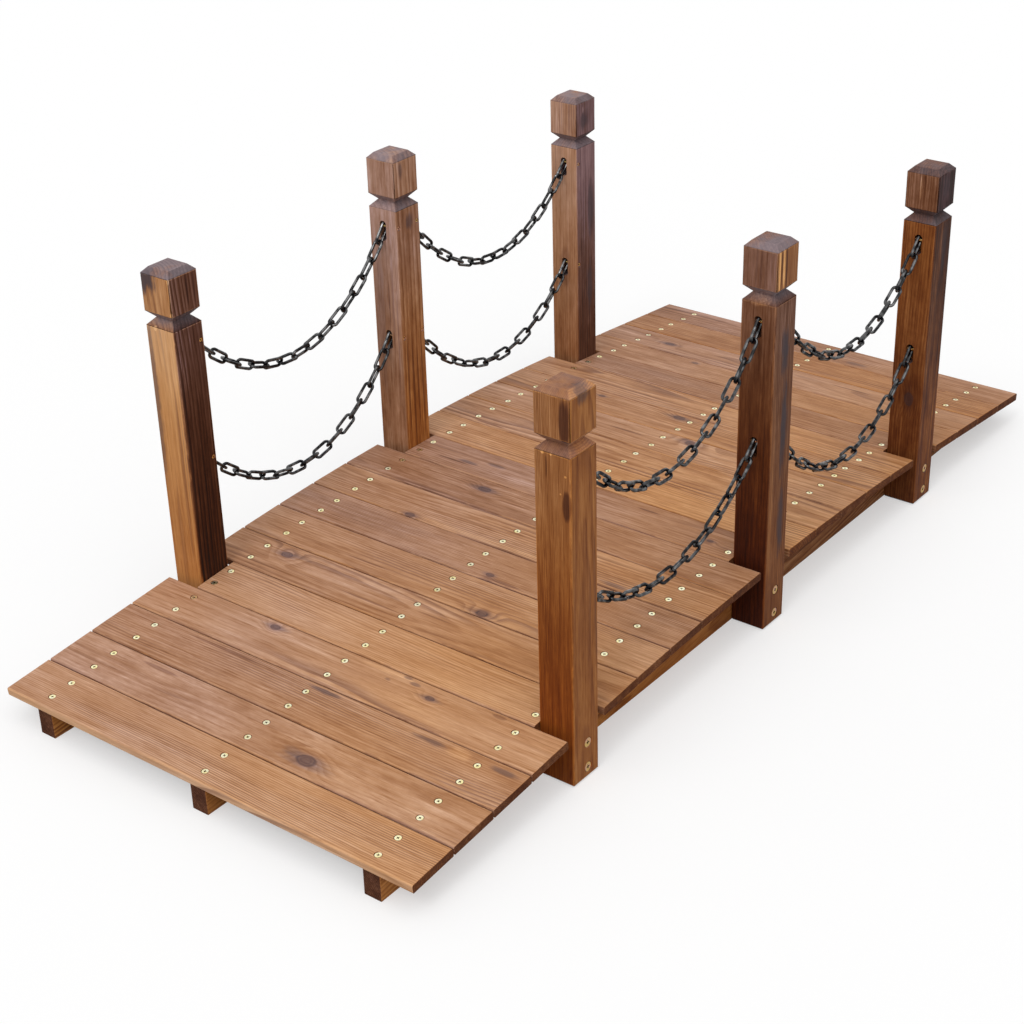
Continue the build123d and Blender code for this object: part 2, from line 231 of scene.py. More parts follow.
class Graph:
    """The node graph of a new material."""

    def __init__(self, name):
        self.material = bpy.data.materials.new(name)
        self.material.use_nodes = True
        self.tree = self.material.node_tree
        self.tree.nodes.clear()

    def node(self, kind, settings=None, inputs=None, output=0):
        made = self.tree.nodes.new(kind)
        for key, value in (settings or {}).items():
            setattr(made, key, value)
        for key, value in (inputs or {}).items():
            socket = self._socket(made.inputs, key)
            if isinstance(value, Value):
                self.tree.links.new(value.socket, socket)
            else:
                socket.default_value = value
        return Value(self, self._socket(made.outputs, output)) if made.outputs else None

    @staticmethod
    def _socket(sockets, key):
        if isinstance(key, int):
            return sockets[key]
        return next((s for s in sockets if s.identifier == key), None) or sockets[key]

    def attribute(self, name, output="Fac"):
        return self.node("ShaderNodeAttribute", {"attribute_name": name}, output=output)

    def split(self, vector):
        return [self.node("ShaderNodeSeparateXYZ", {}, {0: vector}, axis) for axis in range(3)]

    def join(self, x, y, z):
        return self.node("ShaderNodeCombineXYZ", {}, {0: x, 1: y, 2: z})

    def vector_math(self, operation, *vectors, output=0):
        return self.node("ShaderNodeVectorMath", {"operation": operation}, dict(enumerate(vectors)), output)

    def noise(self, vector, scale, seed, detail=2.0, roughness=0.5):
        """Soft noise from 0 to 1; scale is how many blots there are in a metre, each way."""
        return self.node("ShaderNodeTexNoise", {"noise_dimensions": "4D"},
                         {"Vector": self.vector_math("MULTIPLY", vector, scale), "W": seed, "Scale": 1.0,
                          "Detail": detail, "Roughness": roughness}, "Fac")

    def rise(self, value, start, end):
        """0 before start and 1 past end, with a soft step between; start may be above end."""
        low, high, first, last = (start, end, 0.0, 1.0) if start < end else (end, start, 1.0, 0.0)
        return self.node("ShaderNodeMapRange", {"interpolation_type": "SMOOTHSTEP"},
                         {"Value": value, "From Min": low, "From Max": high,
                          "To Min": first, "To Max": last})

    def mix(self, amount, below, above):
        return self.node("ShaderNodeMix", {"data_type": "RGBA", "clamp_factor": True},
                         {"Factor_Float": amount, "A_Color": below, "B_Color": above}, "Result_Color")

    def colour(self, red, green, blue):
        return self.node("ShaderNodeCombineColor", {}, {0: red, 1: green, 2: blue})

    def bump(self, height, strength, distance):
        return self.node("ShaderNodeBump", {},
                         {"Strength": strength, "Distance": distance, "Height": height})

    def surface(self, uniform, varying):
        """Ends the graph in a Principled shader."""
        shader = self.node("ShaderNodeBsdfPrincipled", {}, {**uniform, **varying})
        self.node("ShaderNodeOutputMaterial", {}, {"Surface": shader})
        return self.material


# ---- wood ------------------------------------------------------------------
KNOTS = ("knot_a", "knot_b")
STREAKS = tuple("streak_" + letter for letter in "abcdefg")
SMUDGES = ("smudge_a", "smudge_b", "smudge_c")
SLATE = srgb(66, 60, 66)


def mark_reach(g, grain, mark, stretch=None):
    """How far off a mark is, in its own radii, with its radius and strength."""
    ahead, beside, under = g.split(g.vector_math("SUBTRACT", grain, g.attribute(mark, "Vector")))
    size, drawn, strength = g.split(g.attribute(mark + "_form", "Vector"))
    return ((ahead / (stretch or drawn)) ** 2 + beside ** 2 + under ** 2) ** 0.5 / size, size, strength


def knot_marks(g, grain, ripple, cloud, strand):
    """The knots: their dark cores, the halos round them, how they bend the rings, and their grey smears."""
    core, halo, swirl, smear = 0.0, 0.0, 0.0, 0.0
    for mark in KNOTS:
        reach, size, grey = mark_reach(g, grain, mark, 1.5)
        reach = reach + ripple * 0.7 + (cloud - 0.5) * 0.7 + (strand - 0.5) * 0.3
        disc = g.rise(reach, 1.10, 0.80) * 0.5 + g.rise(abs(reach - 0.95), 0.28, 0.04) * 0.5
        core = disc + g.rise(abs(reach - 0.5), 0.16, 0.02) * 0.25 + core
        halo = g.rise(reach, 2.6, 0.7) + halo
        swirl = (reach ** 2 * -0.16).exp() * size * 1.3 + swirl
        reach, _, _ = mark_reach(g, grain, mark, 3.5)
        smear = g.rise(reach + ripple * 3.0 + (strand - 0.5) * 1.5, 1.7, 0.2) * grey + smear
    return core, halo, swirl, smear


def stain_marks(g, grain, ripple, cloud, strand):
    """The streaks, which follow the fibres, and the smudges, which are more ragged."""
    shadow, smudge = 0.0, 0.0
    for mark in STREAKS:
        reach, _, strength = mark_reach(g, grain, mark)
        shadow = g.rise(reach + (strand - 0.5) * 1.2 + ripple, 1.25, 0.75) * strength + shadow
    for mark in SMUDGES:
        reach, _, strength = mark_reach(g, grain, mark)
        smudge = g.rise(reach + (strand - 0.5) * 1.8 + (cloud - 0.5) * 1.4, 1.4, 0.5) * strength + smudge
    return shadow, smudge


def stained_wood(name, sheen):
    """Stained softwood: growth rings round a pith, fibres, blots, knots, streaks, smudges and end grain.

    It reads what mark_grain() leaves on a piece. The stain is a clear dye over pale wood: the deeper it
    goes, the darker and the more orange it is.
    """
    g = Graph(name)
    grain = g.attribute("grain", "Vector")
    along, across, below = g.split(grain)
    seed, ends, arris = g.attribute("seed"), g.attribute("ends"), g.attribute("arris")
    ring, rings, mottle = g.split(g.attribute("growth", "Vector"))
    pith_across, pith_below, _ = g.split(g.attribute("pith", "Vector"))
    depth, tint, cut = g.split(g.attribute("tone", "Vector"))
    depth_change, tint_change, plain = g.split(g.attribute("fade", "Vector"))

    # noise drawn out along the grain, with the scales of boards, fibres and pores
    bow = g.noise(grain, (2.2, 3, 3), seed, 1.0) - 0.5
    sag = g.noise(grain, (1.6, 2, 2), seed + 7.1, 1.0) - 0.5
    ripple = g.noise(grain, (9, 60, 60), seed + 3.3, 2.0) - 0.5
    hair = g.noise(grain, (60, 1300, 1300), seed + 1.1, 2.0, 0.6)
    fibre = g.noise(grain, (16, 420, 420), seed + 2.2, 3.0, 0.7)
    strand = g.noise(grain, (5, 190, 190), seed + 4.4, 3.0, 0.6)
    blot = g.noise(grain, (9, 38, 38), seed + 9.9, 3.0, 0.55)
    cloud = g.noise(grain, (45, 95, 95), seed + 12.3, 3.0, 0.6)
    drift = g.noise(grain, (4, 14, 14), seed + 6.6, 2.0, 0.5)
    patch = g.noise(grain, (3, 24, 24), seed + 5.2, 2.0)
    pores = g.noise(grain, (60, 900, 900), seed + 8.0, 2.0, 0.7)

    core, halo, swirl, smear = knot_marks(g, grain, ripple, cloud, strand)
    shadow, smudge = stain_marks(g, grain, ripple, cloud, strand)

    # growth rings round the pith
    side = across - pith_across + bow * 0.030
    deep = below - pith_below + sag * 0.026
    radius = (side ** 2 + deep ** 2) ** 0.5 + ripple * (0.0012 + mottle * 0.004) + swirl
    year = radius / ring + g.noise(g.join(radius, 0.0, 0.0), (120, 1, 1), seed + 1.7, 1.0) * 1.4
    phase = year % 1.0
    late = g.rise(phase, 0.25, 0.86) * g.rise(phase, 1.0, 0.90)
    vivid = g.rise(patch, 0.30, 0.70)

    # where the wood is cut across, greyed or dashed with single fibres, and where its arrises are painted
    # lighter, as rubbed wood and as a painted highlight
    end = g.rise(abs(cut), 0.45, 0.72)
    smoke = g.rise(patch, 0.52, 0.66) * late
    worn_and_highlit = arris * g.rise(blot + (strand - 0.5) * 0.8 + (cloud - 0.5) * 0.6, 0.38, 0.56)
    dash = g.rise(fibre, 0.54, 0.74)

    # how deep the stain went, and how warm it is
    shift = along.high(-FADE_END).low(FADE_END)
    striped = (late - 0.35) * rings * (0.40 + vivid) * (1.0 - plain) * (1.0 - end * 0.6)
    uneven = striped + (hair - 0.5) * 0.80 + (fibre - 0.5) * 1.40 + dash * 0.45 + (strand - 0.5) * 0.95 \
        + (blot - 0.5) * (0.60 + mottle * 1.2) + (cloud - 0.5) * (0.20 + mottle * 1.2) + (drift - 0.5) * 0.7
    stain = depth + depth_change * shift
    uneven = (0.5 + stain * 0.5) * uneven
    stain = stain + uneven + core * 0.95 + halo * 0.22 + smear * 0.25 + shadow * 1.2 + smudge * 0.7 \
        + smoke * 0.25
    # arrises painted lighter in places, as rubbed wood and as a painted highlight; the rest of the arrises
    # a little darker
    stain = stain * (1.0 - worn_and_highlit * 0.9) + (arris - worn_and_highlit) * 0.3
    soaked = 0.6 + (0.8 - ends) * 0.5 + late * (0.15 + rings * 0.4) + (pores - 0.5) * 1.2 \
        + (cloud - 0.5) * 1.5
    stain = stain + end * soaked
    warmth = tint + tint_change * shift + uneven * 0.65 + (drift - 0.5) * 0.9 + (strand - 0.5) * 0.5
    warmth = warmth - (halo + smear + smudge) * 0.3 - smoke * 0.4
    stain, warmth = stain.high(-0.2), warmth.high(-1.5).low(5.0)

    # a clear dye, greyed by marks and on end grain
    dyed = g.colour(0.82 * 0.58 ** stain, 0.482 * 0.513 ** stain * 0.85 ** warmth,
                    0.258 * 0.516 ** stain * 0.55 ** warmth)
    slate = (core * 0.30 + smear * 0.30 + smudge * 0.5 + smoke * 0.12).high(0.0).low(0.8)
    dyed = g.mix(slate, dyed, SLATE)
    ashen = g.colour(0.33 * 0.84 ** stain, 0.262 * 0.84 ** stain, 0.285 * 0.84 ** stain)
    colour = g.mix((end * ends * (blot * 1.6 + cloud * 0.5 - 0.5).high(0.1)).low(0.9), dyed, ashen)

    height = hair * 0.2 + fibre * 0.5 + strand * 0.30 - late * 0.35 \
        + (pores + cloud * 2.0) * end * 0.7 - core * 0.5
    rough = 0.50 + fibre * 0.16 - late * 0.06 + end * 0.2
    return g.surface({"Specular IOR Level": sheen},
                     {"Base Color": colour, "Roughness": rough, "Normal": g.bump(height, 0.3, 0.4 * MM)})


def by_face(piece, pairs):
    """A pair for each face, from those of the near, right, far and left sides and, if given, the top."""
    normals = np.array([face.normal for face in piece.data.polygons])
    pairs = np.array(pairs, dtype=float)
    outward = np.array([(-1, 0, 0), (0, -1, 0), (1, 0, 0), (0, 1, 0), (0, 0, 1)])[:len(pairs)]
    weights = np.maximum(normals @ outward.T, 0) ** 2 + 1e-4
    return weights @ pairs / weights.sum(1, keepdims=True)


def mark_grain(piece, along, seed, low, high, cap=None, cap_from=0.0, slopes=(0, 0), plain=(0, 0),
               ends=(0, 0), wear_and_highlight=0.45, growth=(3, 0.3, 0.3), pith=(0, -80), knots=(), streaks=(),
               smudges=()):
    """Leaves on a piece what its wood reads: its own axes, the tone of each face, its growth and marks.

    low, high and cap hold pairs of depth and warmth, as by_face() takes them, for the start of the grain,
    for its end and for what is above the height cap_from. slopes is what the slopes add to the depth, and
    plain how far the growth is hidden, each on the near and far faces and on the right and left ones. ends
    is how grey the end grain is, above cap_from and below it, and wear how far the arrises are painted
    lighter, as rubbed wood and as a painted highlight. A mark is (place, radius, stretch, strength), the
    place in the frame.
    """
    mesh = piece.data
    places = np.array([vertex.co for vertex in mesh.vertices])
    middle = (places.min(0) + places.max(0)) / 2
    up = max(mesh.polygons, key=lambda face: face.area * (face.normal.z > 0.5)).normal.copy()
    if abs(up.dot(along)) > 0.5:
        up = Vector((0, 1, 0))
    across = along.cross(up).normalized()
    axes = np.array([along, across, up])

    def leave(name, kind, domain, values):
        mark = mesh.attributes.get(name) or mesh.attributes.new(name, kind, domain)
        key = "vector" if kind == "FLOAT_VECTOR" else "value"
        mark.data.foreach_set(key, np.ravel(values).astype(np.float32))

    def everywhere(name, *values):
        leave(name, "FLOAT_VECTOR" if len(values) > 1 else "FLOAT", "POINT", list(values) * len(places))

    bottom, top = by_face(piece, low), by_face(piece, high)
    tone, fade = (bottom + top) / 2, (top - bottom) / FADE_RUN
    if cap:
        on_cap = np.array([face.center.z > cap_from for face in mesh.polygons])[:, None]
        tone, fade = np.where(on_cap, by_face(piece, cap), tone), np.where(on_cap, 0.0, fade)
    cut = np.array([[face.normal.dot(along)] for face in mesh.polygons])
    sloping = abs(abs(cut) - 0.65) < 0.25
    facing = np.array([[abs(face.normal.x), abs(face.normal.y)] for face in mesh.polygons])
    facing /= np.maximum(facing.sum(1, keepdims=True), 1e-6)
    tone[:, :1] += (facing @ slopes)[:, None] * sloping
    leave("grain", "FLOAT_VECTOR", "POINT", (places - middle) @ axes.T)
    leave("tone", "FLOAT_VECTOR", "FACE", np.hstack([tone, cut]))
    leave("fade", "FLOAT_VECTOR", "FACE", np.hstack([fade, (facing @ plain)[:, None]]))
    rounded = np.array([item.value > 0.5 or abs(face.normal.dot(along)) < 0.3
                        and max(abs(face.normal.dot(across)), abs(face.normal.dot(up))) < 0.97
                        for item, face in zip(mesh.attributes["arris"].data, mesh.polygons)])
    leave("arris", "FLOAT", "FACE", rounded * wear_and_highlight)
    everywhere("seed", seed)
    leave("ends", "FLOAT", "POINT", np.where(places[:, 2] > cap_from, *ends))
    everywhere("growth", growth[0] * MM, growth[1], growth[2])
    everywhere("pith", pith[0] * MM, pith[1] * MM, 0.0)
    no_mark = (Vector((9, 9, 9)), 5 * MM, 1.0, 0.0)
    for names, marks in ((KNOTS, knots), (STREAKS, streaks), (SMUDGES, smudges)):
        for k, name in enumerate(names):
            place, size, stretch, strength = marks[k] if k < len(marks) else no_mark
            everywhere(name, *(axes @ (np.array(place) - middle)))
            everywhere(name + "_form", size, stretch, strength)


def placed(look, count, where):
    """A look with its marks in the frame; where() turns a place of count numbers, in mm, into a point."""
    marks = {kind: [(where(*mark[:count]), mark[count] * MM, *(mark[count + 1:] or (1.4, 1.0)))
                    for mark in look.get(kind, ())]
             for kind in ("knots", "streaks", "smudges")}
    return {**look, **marks}


# ---- metal -----------------------------------------------------------------
def chain_coat():
    """Glossy black coating on the chain, a little uneven."""
    g = Graph("black_coated_steel")
    place = g.node("ShaderNodeTexCoord", output="Object")
    patch = g.noise(place, (160, 160, 160), 0.0, 3.0)
    grit = g.noise(place, (1500, 1500, 1500), 3.0, 2.0)
    thick = g.noise(place, (110, 110, 110), 7.0, 1.0)
    return g.surface({"Specular IOR Level": 0.22, "Coat IOR": 1.9, "Coat Roughness": 0.16},
                     {"Base Color": g.mix(patch, srgb(2, 2, 4), srgb(12, 12, 18)),
                      "Coat Weight": g.rise(thick, 0.40, 0.64) * 0.85,
                      "Roughness": 0.14 + patch * 0.2,
                      "Normal": g.bump(patch + grit * 0.4, 0.25, 0.2 * MM)})


def zinc(name, pale, warm):
    """Yellow-passivated zinc, which drifts between two tints; the faces of the cross recess are painted
    dark, as shade in the recess.
    """
    g = Graph(name)
    place = g.node("ShaderNodeTexCoord", output="Object")
    drift = g.noise(place, (140, 140, 140), 1.0, 2.0)
    scratch = g.noise(place, (2600, 900, 2600), 5.0, 2.0)
    plated = g.mix(g.rise(drift, 0.42, 0.62), pale, warm)
    # the cross recess is painted dark: painted shade in the recess
    return g.surface({"Metallic": 1.0},
                     {"Base Color": g.mix(g.attribute("recess"), plated, srgb(104, 84, 46)),
                      "Roughness": 0.22 + scratch * 0.3})


def crushed_wood_and_shade():
    """Dark wood, for crushed fibres and painted shade in the countersink round a driven screw, and for
    painted shade on the walls of a post's slots.
    """
    g = Graph("crushed_wood_and_shade")
    place = g.node("ShaderNodeTexCoord", output="Object")
    torn_and_shaded = g.noise(place, (900, 900, 900), 2.0, 3.0)
    return g.surface({}, {"Base Color": g.mix(torn_and_shaded, srgb(22, 13, 9), srgb(62, 38, 25)),
                          "Roughness": 0.75 + torn_and_shaded * 0.1, "Normal": g.bump(torn_and_shaded, 0.5, 0.4 * MM)})


# ---- meshes ----------------------------------------------------------------
def add_piece(name, mesh):
    piece = bpy.data.objects.new(name, mesh)
    bpy.context.scene.collection.objects.link(piece)
    return piece


def applied(piece):
    """The same piece with its modifiers worked into a plain mesh."""
    graph = bpy.context.evaluated_depsgraph_get()
    mesh = bpy.data.meshes.new_from_object(piece.evaluated_get(graph))
    piece.modifiers.clear()
    piece.data = mesh
    return piece


def eased_copy(node, name, radius):
    """A copy of a CAD node with its longer outer edges rounded off; the rounded faces are marked."""
    piece = add_piece(name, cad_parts[node].data.copy())
    piece.data.materials.clear()
    shape = bmesh.new()
    shape.from_mesh(piece.data)
    bmesh.ops.remove_doubles(shape, verts=shape.verts, dist=1e-6)
    bmesh.ops.dissolve_limit(shape, angle_limit=math.radians(0.05), verts=shape.verts, edges=shape.edges)
    low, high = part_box(node)
    slender = high.z - low.z > 0.3

    def of_a_slot(edge):
        """The long upright edges of a post's slots stay sharp."""
        middle = (edge.verts[0].co + edge.verts[1].co) / 2 - (low + high) / 2
        upright = abs(edge.verts[0].co.z - edge.verts[1].co.z) > 10 * MM
        inner = min(abs(middle.x), abs(middle.y)) < 15 * MM
        return slender and upright and inner and edge.calc_length() > 20 * MM

    outer = [edge for edge in shape.edges
             if edge.is_manifold and edge.is_convex and edge.calc_length() > SHORTEST_EDGE
             and edge.calc_face_angle() > math.radians(20) and not of_a_slot(edge)]
    mark = shape.faces.layers.float.new("arris")
    made = bmesh.ops.bevel(shape, geom=outer, offset=radius, segments=2, profile=0.5, affect="EDGES",
                           clamp_overlap=False)
    for face in made["faces"]:
        face[mark] = 1.0
    shape.to_mesh(piece.data)
    shape.free()
    return piece


def sink_holes(piece, holes, head, depth):
    """Cuts a countersink at each (place, outward) hole; its walls get the piece's second material, the dark
    wood that stands for crushed fibres and painted shade.
    """
    cutters = bmesh.new()
    radius = head / 2 + TORN_AND_SHADED_RING
    proud = 0.5 * MM
    for place, outward in holes:
        turn = outward.to_track_quat("Z", "Y").to_matrix().to_4x4()
        middle = place - outward * (depth - proud) / 2
        bmesh.ops.create_cone(cutters, cap_ends=True, segments=20, radius1=radius * 0.7,
                              radius2=radius + 0.2 * MM, depth=depth + proud,
                              matrix=Matrix.Translation(middle) @ turn)
    mesh = bpy.data.meshes.new("cutters")
    cutters.to_mesh(mesh)
    cutters.free()
    cutter = add_piece("cutters", mesh)
    modifier = piece.modifiers.new("holes", "BOOLEAN")
    modifier.operation = "DIFFERENCE"
    modifier.solver = "EXACT"
    modifier.object = cutter
    applied(piece)
    bpy.data.objects.remove(cutter)
    # the countersink walls take the dark wood: crushed fibres and painted shade
    for face in piece.data.polygons:
        for place, outward in holes:
            offset = face.center - place
            out = offset.dot(outward)
            if (offset - outward * out).length < radius and -depth - 0.1 * MM < out < -0.05 * MM:
                face.material_index = 1


def finish_piece(piece, materials, slot, *nodes):
    """Smooth where it is round, dressed, and set in the place of its CAD nodes."""
    mesh = piece.data
    mesh.materials.clear()
    for material in materials:
        mesh.materials.append(material)
    rounded = mesh.attributes.get("arris")
    if rounded:
        mesh.polygons.foreach_set("use_smooth", [item.value > 0 for item in rounded.data])
    else:
        mesh.shade_smooth()
        mesh.set_sharp_from_angle(angle=math.radians(38))
    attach(piece, "root")
    if nodes:
        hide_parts(*nodes)


def loose_parts(node):
    """The corners of each separate solid of a CAD node, sorted so that each run gives the same numbers."""
    shape = bmesh.new()
    shape.from_mesh(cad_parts[node].data)
    bmesh.ops.remove_doubles(shape, verts=shape.verts, dist=1e-6)
    left = set(shape.verts)
    parts = []
    while left:
        part, fringe = set(), [min(left, key=lambda vertex: vertex.index)]
        while fringe:
            vertex = fringe.pop()
            if vertex not in part:
                part.add(vertex)
                fringe.extend(edge.other_vert(vertex) for edge in vertex.link_edges)
        left -= part
        parts.append(np.array(sorted(tuple(vertex.co) for vertex in part)))
    shape.free()
    return parts


# ---- repeated hardware by geometry nodes -----------------------------------
class Builder:
    """A geometry node tree with named inputs, which ends in real, dressed faces."""

    def __init__(self, name, sizes):
        self.tree = bpy.data.node_groups.new(name, "GeometryNodeTree")
        sockets = self.tree.interface
        sockets.new_socket("Geometry", in_out="INPUT", socket_type="NodeSocketGeometry")
        sockets.new_socket("Geometry", in_out="OUTPUT", socket_type="NodeSocketGeometry")
        made = [sockets.new_socket(size, in_out="INPUT", socket_type="NodeSocketFloat") for size in sizes]
        self.keys = {size: socket.identifier for size, socket in zip(sizes, made)}
        self.given = self.tree.nodes.new("NodeGroupInput")

    def size(self, name, factor=1.0):
        return self.node("ShaderNodeMath", {"operation": "MULTIPLY"},
                         {0: self.given.outputs[name], 1: factor})

    def node(self, kind, settings=None, inputs=None, output=0):
        made = self.tree.nodes.new(kind)
        for key, value in (settings or {}).items():
            setattr(made, key, value)
        for key, value in (inputs or {}).items():
            for item in value if isinstance(value, list) else [value]:
                if isinstance(item, bpy.types.NodeSocket):
                    self.tree.links.new(item, made.inputs[key])
                else:
                    made.inputs[key].default_value = item
        return made.outputs[output]

    def vector(self, x=0.0, y=0.0, z=0.0):
        return self.node("ShaderNodeCombineXYZ", {}, {0: x, 1: y, 2: z})

    def moved(self, geometry, z):
        return self.node("GeometryNodeTransform", {},
                         {"Geometry": geometry, "Translation": self.vector(z=z)})

    def inside(self, geometry, top, radius):
        """Marks the faces below the top and within the radius as a recess, which the zinc paints dark as
        shade.
        """
        place = self.node("GeometryNodeInputPosition")
        height = self.node("ShaderNodeSeparateXYZ", {}, {0: place}, 2)
        flat = self.node("ShaderNodeVectorMath", {"operation": "MULTIPLY"}, {0: place, 1: (1.0, 1.0, 0.0)})
        reach = self.node("ShaderNodeVectorMath", {"operation": "LENGTH"}, {0: flat}, 1)
        below = self.node("ShaderNodeMath", {"operation": "LESS_THAN"}, {0: height, 1: top})
        within = self.node("ShaderNodeMath", {"operation": "LESS_THAN"}, {0: reach, 1: radius})
        both = self.node("ShaderNodeMath", {"operation": "MULTIPLY"}, {0: below, 1: within})
        return self.node("GeometryNodeStoreNamedAttribute", {"data_type": "FLOAT", "domain": "FACE"},
                         {"Geometry": geometry, "Name": "recess", "Value": both})

    def set_out(self, instance, material):
        """Sets the instance on every point, turned as the point says, and closes the tree."""
        turn = self.node("GeometryNodeInputNamedAttribute", {"data_type": "FLOAT_VECTOR"}, {"Name": "turn"})
        spin = self.node("FunctionNodeEulerToRotation", {}, {0: turn})
        copies = self.node("GeometryNodeInstanceOnPoints", {},
                           {"Points": self.given.outputs["Geometry"], "Instance": instance,
                            "Rotation": spin})
        real = self.node("GeometryNodeRealizeInstances", {}, {0: copies})
        coated = self.node("GeometryNodeSetMaterial", {}, {"Geometry": real, "Material": material})
        end = self.tree.nodes.new("NodeGroupOutput")
        self.tree.links.new(coated, end.inputs[0])
        return self

    def grow(self, name, places, sizes):
        """A plain mesh with one copy at each (point, Euler turn)."""
        mesh = bpy.data.meshes.new(name)
        mesh.from_pydata([tuple(point) for point, _ in places], [], [])
        turn = mesh.attributes.new("turn", "FLOAT_VECTOR", "POINT")
        turn.data.foreach_set("vector", [angle for _, euler in places for angle in euler])
        piece = add_piece(name, mesh)
        modifier = piece.modifiers.new("grow", "NODES")
        modifier.node_group = self.tree
        for size, value in sizes.items():
            modifier[self.keys[size]] = value
        return applied(piece)


def screw_builder(name, material):
    """A countersunk screw with a cross recess, its head up along its own Z and flush with the origin."""
    b = Builder(name, ("Head", "Length"))
    height = b.size("Head", 0.32)
    head = b.node("GeometryNodeMeshCone", {"fill_type": "NGON"},
                  {"Vertices": 18, "Radius Top": b.size("Head", 0.5), "Radius Bottom": b.size("Head", 0.22),
                   "Depth": height})
    head = b.moved(head, b.size("Head", -0.32))
    bars = []
    for turn in (0.0, math.pi / 2):
        size = b.vector(b.size("Head", 0.46), b.size("Head", 0.11), b.size("Head", 0.40))
        bar = b.node("GeometryNodeMeshCube", {}, {"Size": size})
        bars.append(b.node("GeometryNodeTransform", {}, {"Geometry": bar, "Rotation": (0.0, 0.0, turn)}))
    core = b.node("GeometryNodeMeshCylinder", {"fill_type": "NGON"},
                  {"Vertices": 8, "Radius": b.size("Head", 0.12), "Depth": b.size("Head", 0.48)})
    head = b.node("GeometryNodeMeshBoolean", {"operation": "DIFFERENCE"}, {0: head, 1: [*bars, core]})
    head = b.inside(head, b.size("Head", -0.01), b.size("Head", 0.30))
    stem = b.node("GeometryNodeMeshCylinder", {"fill_type": "NGON"},
                  {"Vertices": 10, "Radius": b.size("Head", 0.25), "Depth": b.size("Length")})
    drop = b.node("ShaderNodeMath", {"operation": "SUBTRACT"},
                  {0: b.size("Length", -0.5), 1: b.size("Head", 0.28)})
    screw = b.node("GeometryNodeJoinGeometry", {}, {0: [head, b.moved(stem, drop)]})
    return b.set_out(screw, material)


def link_builder(material):
    """An oval link of round wire, lengthwise along its own X."""
    b = Builder("chain_links", ("Length", "Width", "Bend", "Wire"))
    oval = b.node("GeometryNodeCurvePrimitiveQuadrilateral", {"mode": "RECTANGLE"},
                  {"Width": b.size("Length"), "Height": b.size("Width")})
    oval = b.node("GeometryNodeFilletCurve", {"mode": "POLY"},
                  {"Curve": oval, "Count": 5, "Radius": b.size("Bend")})
    section = b.node("GeometryNodeCurvePrimitiveCircle", {"mode": "RADIUS"},
                     {"Resolution": 8, "Radius": b.size("Wire", 0.5)})
    link = b.node("GeometryNodeCurveToMesh", {}, {"Curve": oval, "Profile Curve": section})
    return b.set_out(link, material)


def driven(outward, tilt, chance):
    """Euler turn that points a screw's head outward, leaning and turned as a hand-driven one is."""
    spin = chance.uniform(0, math.pi / 2)
    lean = Vector([chance.uniform(-tilt, tilt) for _ in range(3)])
    turn = (outward + lean).normalized().to_track_quat("Z", "Y").to_matrix().to_4x4()
    return (turn @ Matrix.Rotation(spin, 4, "Z")).to_euler()


# ---- pieces ----------------------------------------------------------------
def deck_boards(wood, torn_and_shaded, screws):
    """The planks, each with its screw holes and its own wood; adds the place and turn of each screw."""
    for number, look in enumerate(PLANKS, 1):
        node = f"plank_{number:02d}"
        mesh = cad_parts[node].data
        tops = [face for face in mesh.polygons if face.normal.z > 0.9]
        up = max(tops, key=lambda face: face.area).normal.copy()
        low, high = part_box(node)
        middle = (low + high) / 2
        middle += up * max((vertex.co - middle).dot(up) for vertex in mesh.vertices)
        ahead = ALONG_BOARD.cross(up).normalized()
        chance = random.Random(100 + number)
        holes = []
        for row in ROWS:
            beam = sum(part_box(f"stringer_{row}"), Vector()) / 2
            for step in (-SCREW_STEP, SCREW_STEP):
                place = middle + ahead * (step + chance.uniform(-SCREW_WANDER, SCREW_WANDER))
                place.y = beam.y + chance.uniform(-SCREW_WANDER, SCREW_WANDER)
                holes.append((place, up))
                screws.append((place - up * SUNK, driven(up, 0.05, chance)))
        board = eased_copy(node, f"board_{number:02d}", BOARD_EDGE)
        sink_holes(board, holes, DECK_SCREW_HEAD, DECK_HOLE)
        look = placed(look, 2, lambda y, x: middle + ALONG_BOARD * y * MM + ahead * x * MM)
        depth, warmth = look.pop("stain")
        # the plank sides in the gaps are painted darker than plank 1's open near side, as shade in the
        # gaps; the sawn ends are darker end grain
        shaded_gap_side, sawn_end = (depth + 0.8, warmth), (depth + 1.25, warmth + 1.5)
        near_side = (depth - 0.4, warmth) if number == 1 else shaded_gap_side
        sides = (near_side, sawn_end, shaded_gap_side, sawn_end)
        right_top, left_top = (depth - 0.06, warmth + 0.25), (depth + 0.10, warmth - 0.05)
        mark_grain(board, ALONG_BOARD, number * 3.17, (*sides, right_top), (*sides, left_top), **look)
        finish_piece(board, [wood, torn_and_shaded], "deck_wood", node)


def stringer_boards(wood):
    """The stringers, whose right sides grow darker towards the far end."""
    near_end, far_end, left = (3.0, 0.9), (2.5, 0.9), (2.8, 0.2)
    for number, row in enumerate(ROWS):
        node = f"stringer_{row}"
        board = eased_copy(node, f"beam_{row}", BOARD_EDGE)
        mark_grain(board, ALONG_STRINGER, 80.3 + number * 2.9, (near_end, (1.35, 2.0), far_end, left),
                   (near_end, (2.1, 1.3), far_end, left), growth=(3.2, 0.7, 0.5), pith=(-70, -20))
        finish_piece(board, [wood], "stringer_wood", node)


def rail_screw_places(side, station):
    """Head and outward direction of each screw that holds a chain, from the CAD screws of a post."""
    places = []
    sign = SIDES[side]
    for points in loose_parts(f"chain_screws_{side}_{station}"):
        face = min(points[:, 1] * sign) * sign
        middle = (points.min(0) + points.max(0)) / 2
        places.append((Vector((middle[0], face, middle[2])), Vector((0, -sign, 0))))
    return places


